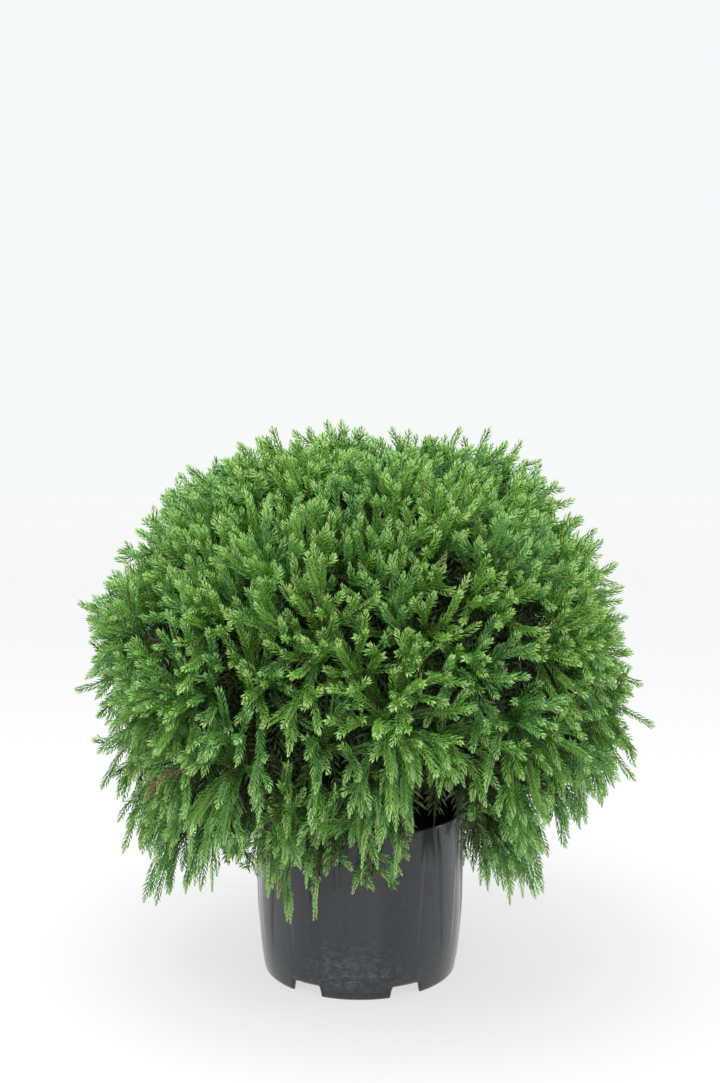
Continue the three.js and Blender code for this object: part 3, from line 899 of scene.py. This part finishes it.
# ---- Trunk and boughs ----
# The trunk stands in the compost on a flared foot, leans a little, and sends out one bough for
# each mass. The bark is thin, red-brown and fibrous, and peels in long upright strips.
TRUNK_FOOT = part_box("trunk")[0][2]
TRUNK_TOP = 0.385
TRUNK_LEAN = 0.007
TRUNK_RADII = [0.024, 0.0175, 0.015, 0.0135, 0.0115, 0.0065]
TRUNK_STEPS = [0, 0.07, 0.2, 0.5, 0.84, 1]
TRUNK_RINGS = 90
BOUGH_LOW = 0.212
BOUGH_HIGH = 0.378
BOUGH_RADIUS = 0.0056
STEM_RADIUS = 0.0036
TWIG_RADIUS = 0.0026
BEND_RINGS = 16
STEM_RINGS = 10
BEND_END = 0.25
BEND_PULL = 0.55
STRIPS_ROUND = 1.6
STRIPS_ALONG = 9
STRIP_DEPTH = 2.2
CRACK_DEPTH = 0.3
BARK = (0.13, 0.07, 0.045)
BARK_CRACKS = (0.045, 0.024, 0.016)
BARK_STRIPS = (0.20, 0.115, 0.075)


def trunk_centre(height):
    share = (height - TRUNK_FOOT) / (TRUNK_TOP - TRUNK_FOOT)
    lean = TRUNK_LEAN * math.sin(share * math.pi / 2)
    return Vector((-lean, lean * 0.5, height))


def fibres(bearing, along, seed):
    """Bark relief from 0 to 1: strips that run with the limb, and fine cracks."""
    x, y = math.cos(bearing) * STRIPS_ROUND, math.sin(bearing) * STRIPS_ROUND
    ring = Vector((x, y, along * STRIPS_ALONG + seed * 7.3))
    strips = abs(noise.noise(ring * 2.1))
    cracks = noise.noise(Vector((ring.x * 5, ring.y * 5, along * 60 + seed)))
    return min(max(1 - STRIP_DEPTH * strips + CRACK_DEPTH * cracks, 0), 1)


def barked_limb(centres, radii, sides, relief, seed, vertices, faces):
    """Adds a limb with bark relief to a list of vertices and faces."""
    across = Vector((0.31, 0.83, -0.46))
    first = len(vertices)
    along = 0.0
    for i, centre in enumerate(centres):
        forward = (centres[min(i + 1, len(centres) - 1)] - centres[max(i - 1, 0)]).normalized()
        across = (across - forward * across.dot(forward)).normalized()
        side = forward.cross(across)
        along += (centre - centres[max(i - 1, 0)]).length
        for k in range(sides):
            bearing = 2 * math.pi * k / sides
            radius = radii[i] * (1 - relief * (1 - fibres(bearing, along, seed)))
            point = centre + across * radius * math.cos(bearing) + side * radius * math.sin(bearing)
            vertices.append(tuple(point))
    for i in range(len(centres) - 1):
        for k in range(sides):
            a = first + i * sides + k
            b = first + i * sides + (k + 1) % sides
            faces.append((a, b, b + sides, a + sides))
    last = first + (len(centres) - 1) * sides
    faces.append(tuple(range(first + sides - 1, first - 1, -1)))
    faces.append(tuple(range(last, last + sides)))


def bark_material():
    material = plain_material("fibrous_bark", BARK, roughness=0.85, specular=0.25)
    nodes, links = material.node_tree.nodes, material.node_tree.links
    grain = noise_in(material, scale=1, detail=5, stretched=(420, 420, 60))
    tone = nodes.new("ShaderNodeValToRGB")
    cracks, strips = tone.color_ramp.elements
    cracks.position, cracks.color = 0.32, (*BARK_CRACKS, 1)
    strips.position, strips.color = 0.68, (*BARK_STRIPS, 1)
    links.new(grain, tone.inputs["Fac"])
    links.new(tone.outputs["Color"], nodes["Principled BSDF"].inputs["Base Color"])
    fine_relief(material, grain, strength=0.5, distance=0.0008)
    return material


bark_look = bark_material()
trunk_vertices, trunk_faces = [], []
trunk_shares = np.linspace(0, 1, TRUNK_RINGS)
trunk_centres = [trunk_centre(mix(TRUNK_FOOT, TRUNK_TOP, s)) for s in trunk_shares]
trunk_radii = np.interp(trunk_shares, TRUNK_STEPS, TRUNK_RADII)
barked_limb(
    trunk_centres, trunk_radii, sides=56, relief=0.13, seed=1,
    vertices=trunk_vertices, faces=trunk_faces,
)
trunk = mesh_piece("trunk_bark", trunk_vertices, trunk_faces, bark_look)
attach(trunk, "root")
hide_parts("trunk")

bough_vertices, bough_faces = [], []
for mass in range(MASSES):
    axis = masses.rays[mass]
    share = (axis[2] - math.sin(LOWEST_BOUGH)) / (1 - math.sin(LOWEST_BOUGH))
    start = trunk_centre(mix(BOUGH_LOW, BOUGH_HIGH, share))
    entry = Vector(place(axis, BOUGH_END))
    onward = (Vector(place(axis, HEART_MIDDLE)) - entry).normalized()
    length = (entry - start).length
    straight = entry - onward * BEND_END * length
    control = entry - onward * BEND_PULL * length
    bend = [
        start * (1 - s) ** 2 + control * 2 * s * (1 - s) + straight * s * s
        for s in np.linspace(0, 1, BEND_RINGS)
    ]
    stem = [Vector(place(axis, t)) for t in np.linspace(BOUGH_END, STEM_END, STEM_RINGS)]
    radii = list(np.linspace(BOUGH_RADIUS, STEM_RADIUS * 1.1, BEND_RINGS))
    radii += list(np.linspace(STEM_RADIUS, TWIG_RADIUS, STEM_RINGS))
    barked_limb(
        bend + stem, radii, sides=14, relief=0.14, seed=mass,
        vertices=bough_vertices, faces=bough_faces,
    )
boughs = mesh_piece("bough_bark", bough_vertices, bough_faces, bark_look)
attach(boughs, "root")
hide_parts(*[f"bough_{mass + 1:02d}" for mass in range(MASSES)])

# ---- Twigs ----
# Woody twigs and sprays are brown inside the crown, and the shoots and forks that carry the
# young needles are green. Each grows out of its parent and tapers to its tip.
TWIG_RADII = (TWIG_RADIUS, 0.0014)
SPRAY_WOOD_RADII = (0.0016, 0.0011)
SPRAY_GREEN_RADII = (0.0011, 0.0005)
SHOOT_RADII = (0.0009, 0.0004)
FORK_RADII = (0.0007, 0.0004)
INNER_RADII = (0.001, 0.0005)
TWIG_WOOD = (0.095, 0.075, 0.035)
GREEN_STEM = (0.17, 0.23, 0.06)
SHADED_STEM = (0.05, 0.055, 0.02)
foliage_nodes = [f"foliage_{mass + 1:02d}" for mass in range(MASSES)]


def paths_object(name, groups, *attributes):
    """Polylines in one object. A group is points (n, k, 3) and then values (n, k)."""
    corners = np.concatenate([group[0].reshape(-1, 3) for group in groups])
    edges, start = [], 0
    for group in groups:
        count, steps = group[0].shape[:2]
        first = start + np.arange(count * steps).reshape(count, steps)
        edges.append(np.stack([first[:, :-1].ravel(), first[:, 1:].ravel()], axis=1))
        start += count * steps
    edges = np.concatenate(edges)
    mesh = bpy.data.meshes.new(name)
    mesh.vertices.add(len(corners))
    mesh.vertices.foreach_set("co", corners.ravel())
    mesh.edges.add(len(edges))
    mesh.edges.foreach_set("vertices", edges.ravel())
    for i, attribute in enumerate(attributes, 1):
        values = np.concatenate([np.broadcast_to(g[i], g[0].shape[:2]).ravel() for g in groups])
        mesh.attributes.new(attribute, "FLOAT", "POINT").data.foreach_set("value", values)
    mesh.update()
    return in_scene(name, mesh)


def named_value(tree, name):
    """A value that the points of a path hold."""
    node = tree.nodes.new("GeometryNodeInputNamedAttribute")
    node.data_type = "FLOAT"
    node.inputs["Name"].default_value = name
    return node.outputs["Attribute"]


def twig_tree():
    tree, given, made = node_tree("twigs_on_paths", ("Sides", "Int"), ("Material", "Material"))
    nodes, links = tree.nodes, tree.links
    curve = nodes.new("GeometryNodeMeshToCurve")
    links.new(given.outputs["Geometry"], curve.inputs["Mesh"])
    section = nodes.new("GeometryNodeCurvePrimitiveCircle")
    section.inputs["Radius"].default_value = 1
    links.new(given.outputs["Sides"], section.inputs["Resolution"])
    skin = nodes.new("GeometryNodeCurveToMesh")
    links.new(curve.outputs["Curve"], skin.inputs["Curve"])
    links.new(named_value(tree, "thickness"), skin.inputs["Scale"])
    links.new(section.outputs["Curve"], skin.inputs["Profile Curve"])
    skin.inputs["Fill Caps"].default_value = True
    return finish_tree(tree, given, made, skin.outputs["Mesh"])


def foliage_piece(piece):
    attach(piece, "root")
    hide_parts(*foliage_nodes)


def tapering(kind, start, end, radii, steps):
    """Paths along the branches of a kind, which taper from one radius to another."""
    return kind.path(kind.all, start, end, steps), np.linspace(*radii, steps)[None, :]


twigs_on_paths = twig_tree()


def twig_piece(name, groups, look, sides):
    """One piece of twigs of one kind, on paths that hold their thickness."""
    paths = paths_object(f"{name}_paths", groups, "thickness")
    foliage_piece(grown(paths, twigs_on_paths, name, sides=sides, material=look))


half_spray = mix(sprays.leaves, sprays.end, 0.5)
woody = [
    tapering(twigs, twigs.leaves, twigs.end, TWIG_RADII, steps=7),
    tapering(sprays, sprays.leaves, half_spray, SPRAY_WOOD_RADII, steps=4),
]
wood_look = plain_material("twig_wood", TWIG_WOOD, roughness=0.75, specular=0.3)
twig_piece("woody_twigs", woody, wood_look, sides=4)
green = [
    tapering(sprays, half_spray, sprays.end, SPRAY_GREEN_RADII, steps=4),
    tapering(shoots, shoots.leaves, shoots.end, SHOOT_RADII, steps=4),
    tapering(forks, forks.leaves, forks.end, FORK_RADII, steps=2),
]
green_look = plain_material("green_stem", GREEN_STEM, roughness=0.6, specular=0.4)
twig_piece("green_stems", green, green_look, sides=3)
shaded = [
    tapering(kind, kind.leaves, kind.end, INNER_RADII, steps=3)
    for kind in (inner_shoots, heart_shoots)
]
shaded_look = plain_material("shaded_stem", SHADED_STEM, roughness=0.7, specular=0.3)
twig_piece("inner_stems", shaded, shaded_look, sides=3)

# ---- Needles ----
# Short awl-shaped needles stand all round each shoot in a spiral, lean forward and curve in, so
# that a shoot is a soft rope with a blunt end. New growth at the tips is pale, older is deep.
NEEDLE_LENGTH = 0.009
NEEDLE_WIDTH = 0.0019
NEEDLE_LEAN = math.radians(33)
NEEDLE_CURVE = math.radians(16)
NEEDLE_BEND = 0.48
NEEDLE_STEP = 0.00095
INNER_STEP = 0.0018
HEART_STEP = 0.002
OLD_STEP = 0.0016
STEM_HALF = 0.0005
UNEVENNESS = 0.09
SIZES = (0.85, 1.12)
BARE_FOOT = 0.03
YOUNG_FROM = 0.45
TIP_WIDTHS = np.array([[0.95, 0.78, 0.45, 0.15]])
TIP_LENGTHS = np.array([[0.95, 0.82, 0.65, 0.45]])
TIP = 0.019  # the share of the reach at a shoot's end that is this year's growth
PHYLLOTAXIS = math.radians(145.5)  # a little over two fifths of a turn: five winding ranks


def needle():
    """One needle on a shoot that runs along +Z: two facets that meet along its keel."""
    def leaning(angle, length):
        return root + Vector((math.sin(angle), 0, math.cos(angle))) * length

    root = Vector((STEM_HALF, 0, 0))
    low = leaning(NEEDLE_LEAN + NEEDLE_CURVE, NEEDLE_LENGTH * NEEDLE_BEND)
    tip = leaning(NEEDLE_LEAN, NEEDLE_LENGTH)
    side = Vector((0, NEEDLE_WIDTH / 2, 0))
    corners = [root, low - side, tip, low + side]
    return mesh_piece("needle", corners, [(0, 1, 2), (0, 2, 3)], green_look, smooth=False)


def needle_tree():
    tree, given, made = node_tree(
        "needles_on_shoots", ("Needle", "Object"), ("Step", "Float"), ("Turn", "Float"),
        ("Unevenness", "Float"), ("Material", "Material"),
    )
    nodes, links = tree.nodes, tree.links

    def rotated(rotation, by):
        node = nodes.new("FunctionNodeRotateRotation")
        node.rotation_space = "LOCAL"
        links.new(rotation, node.inputs["Rotation"])
        links.new(by, node.inputs["Rotate By"])
        return node.outputs["Rotation"]

    # places along each shoot, each turned on from the one before it and then a little unevenly
    curve = nodes.new("GeometryNodeMeshToCurve")
    links.new(given.outputs["Geometry"], curve.inputs["Mesh"])
    points = nodes.new("GeometryNodeCurveToPoints")
    points.mode = "LENGTH"
    links.new(curve.outputs["Curve"], points.inputs["Curve"])
    links.new(given.outputs["Step"], points.inputs["Length"])
    index = nodes.new("GeometryNodeInputIndex")
    turn = nodes.new("ShaderNodeMath")
    turn.operation = "MULTIPLY"
    links.new(index.outputs["Index"], turn.inputs[0])
    links.new(given.outputs["Turn"], turn.inputs[1])
    round_stem = nodes.new("ShaderNodeCombineXYZ")
    links.new(turn.outputs["Value"], round_stem.inputs["Z"])
    spin = rotated(points.outputs["Rotation"], round_stem.outputs["Vector"])
    less = nodes.new("ShaderNodeMath")
    less.operation = "MULTIPLY"
    less.inputs[1].default_value = -1
    links.new(given.outputs["Unevenness"], less.inputs[0])
    wobble = random_node(tree, "FLOAT_VECTOR", seed=3)
    links.new(less.outputs["Value"], wobble.inputs["Min"])
    links.new(given.outputs["Unevenness"], wobble.inputs["Max"])
    tilt = rotated(spin, wobble.outputs["Value"])

    # a needle at each place, as wide and as long as the path says there
    scale = nodes.new("ShaderNodeCombineXYZ")
    scale.inputs["Y"].default_value = 1
    for attribute, socket in (("spread", "X"), ("length", "Z")):
        links.new(named_value(tree, attribute), scale.inputs[socket])
    vary = random_node(tree, "FLOAT", seed=8, low=SIZES[0], high=SIZES[1])
    sized = nodes.new("ShaderNodeVectorMath")
    sized.operation = "SCALE"
    links.new(scale.outputs["Vector"], sized.inputs["Vector"])
    links.new(vary.outputs["Value"], sized.inputs["Scale"])
    needle_in = nodes.new("GeometryNodeObjectInfo")
    links.new(given.outputs["Needle"], needle_in.inputs["Object"])
    put = nodes.new("GeometryNodeInstanceOnPoints")
    links.new(points.outputs["Points"], put.inputs["Points"])
    links.new(needle_in.outputs["Geometry"], put.inputs["Instance"])
    links.new(tilt, put.inputs["Rotation"])
    links.new(sized.outputs["Vector"], put.inputs["Scale"])
    return finish_tree(tree, given, made, put.outputs["Instances"])


def srgb(colour):
    """A colour as a paint chart gives it, in the linear light that shaders use."""
    values = np.array(colour) / 255
    return tuple(np.where(values <= 0.04045, values / 12.92, ((values + 0.055) / 1.055) ** 2.4))


needles_on_shoots = needle_tree()
one_needle = needle()


def clad(name, colour, groups, step=NEEDLE_STEP):
    """One piece of needles in one colour, on stretches of branches."""
    look = plain_material(name, srgb(colour), roughness=0.37, specular=0.55)
    piece = grown(
        paths_object(name, groups, "spread", "length"), needles_on_shoots, name,
        needle=one_needle, step=step, turn=PHYLLOTAXIS, unevenness=UNEVENNESS, material=look,
    )
    foliage_piece(piece)


def stretch(kind, which, first, last, widths=(1, 1), lengths=(1, 1), steps=4):
    """A stretch of some branches between two shares of their leafy length, with needle sizes."""
    start = mix(kind.leaves, kind.end - TIP, first)
    end = mix(kind.leaves, kind.end - TIP, last)
    wide = np.linspace(*widths, steps)[None, :]
    long = np.linspace(*lengths, steps)[None, :]
    return kind.path(which, start, end, steps), wide, long


def tips(kind, which):
    """The last stretch of some branches, where the needles close up over the bud."""
    points = kind.path(which, kind.end - TIP, kind.end, TIP_WIDTHS.size)
    return points, TIP_WIDTHS, TIP_LENGTHS


def young_half(kind, which):
    return stretch(kind, which, YOUNG_FROM, 1)


def old_half(kind, which):
    return stretch(kind, which, BARE_FOOT, YOUNG_FROM)


def by_tint(make, low=-math.inf, high=math.inf):
    """Groups for the green branches of each kind whose tint lies between two values."""
    groups = []
    for kind in (sprays, shoots, forks):
        which = kind.all[(kind.tint[kind.all] >= low) & (kind.tint[kind.all] < high)]
        groups.append(make(kind, which))
    return groups


clad("needles_tip_yellow", (163, 198, 116), by_tint(tips, high=0.4))
clad("needles_tip_green", (148, 192, 109), by_tint(tips, low=0.4))
clad("needles_fresh_yellow", (110, 162, 60), by_tint(young_half, high=0.3))
clad("needles_fresh_green", (102, 157, 57), by_tint(young_half, low=0.3, high=0.65))
clad("needles_fresh_blue", (95, 153, 71), by_tint(young_half, low=0.65))
clad("needles_deep_green", (68, 119, 27), by_tint(old_half, high=0.5))
clad("needles_deep_blue", (62, 113, 35), by_tint(old_half, low=0.5))
# Needles inside the crown are older and duller, and their deep colours are also painted shade:
# darker than their own green, because the crown's inside lies in shadow
inner = stretch(inner_shoots, inner_shoots.all, BARE_FOOT, 1, (1.6, 1.6), (1.25, 1.25))
clad("needles_inner", (52, 82, 27), [inner], INNER_STEP)
heart = stretch(heart_shoots, heart_shoots.all, BARE_FOOT, 1, (2.6, 2.6), (1.7, 1.7))
clad("needles_heart", (48, 69, 23), [heart], HEART_STEP)
old = stretch(twigs, twigs.all, 0, 1, (1.7, 1.7), (1.3, 1.3), steps=7)
clad("needles_old", (52, 64, 28), [old], OLD_STEP)
withered = [stretch(twig, twig.all, 0.4, 1, (0.55, 0.5), (0.9, 0.8)) for twig in (dead, dead_forks)]
clad("needles_dead", (118, 66, 44), withered, OLD_STEP)

bpy.data.objects.remove(one_needle)
